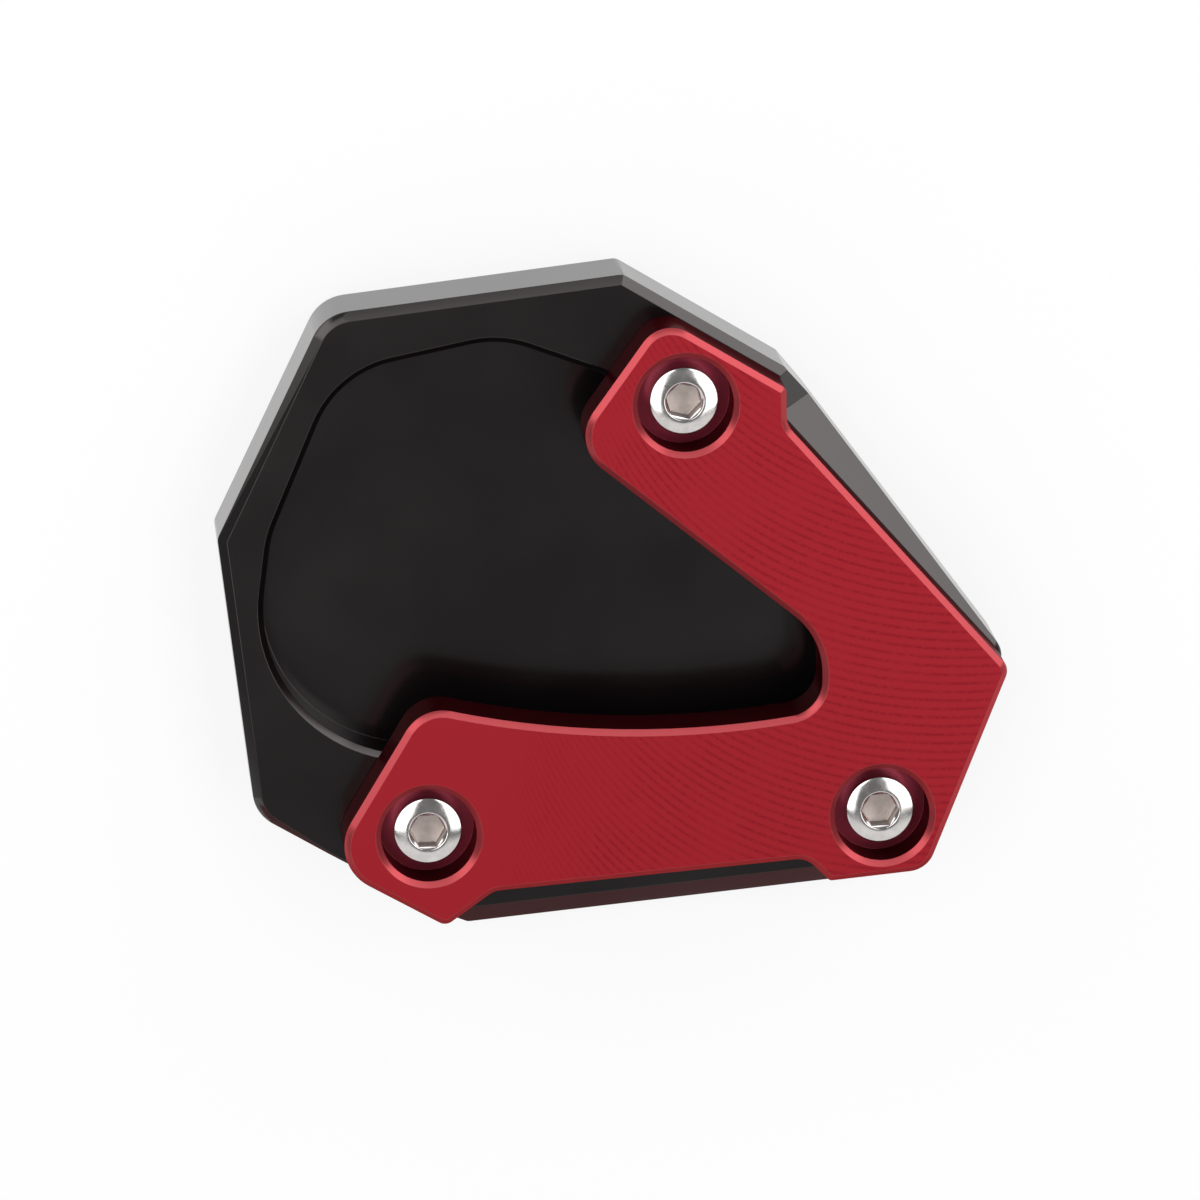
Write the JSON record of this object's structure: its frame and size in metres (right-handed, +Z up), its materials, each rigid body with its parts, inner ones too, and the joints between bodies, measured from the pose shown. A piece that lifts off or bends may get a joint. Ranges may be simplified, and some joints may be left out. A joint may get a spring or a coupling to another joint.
{
  "type": "kickstand foot enlarger",
  "caption": "Side-stand foot enlarger for a motorbike: a pocketed base plate with a V-shaped clamp plate held on it by socket screws.",
  "frame": {"origin": "centre of the underside of the base plate's bounding box, where the pad stands on the ground", "axes": "+Z up, away from the ground; +X from the open side of the V towards its closed side; +Y from the lower arm towards the upper arm"},
  "size_m": [0.0986, 0.0834, 0.02],
  "materials": {
    "black_anodised": "black anodised, satin",
    "red_anodised": "red anodised, milled, satin",
    "stainless_steel": "polished stainless steel"
  },
  "bodies": {
    "root": {"base_plate": "black_anodised", "clamp_plate": "red_anodised", "screw_upper_arm": "stainless_steel", "screw_lower_arm": "stainless_steel", "screw_corner": "stainless_steel"}
  },
  "joints": []
}
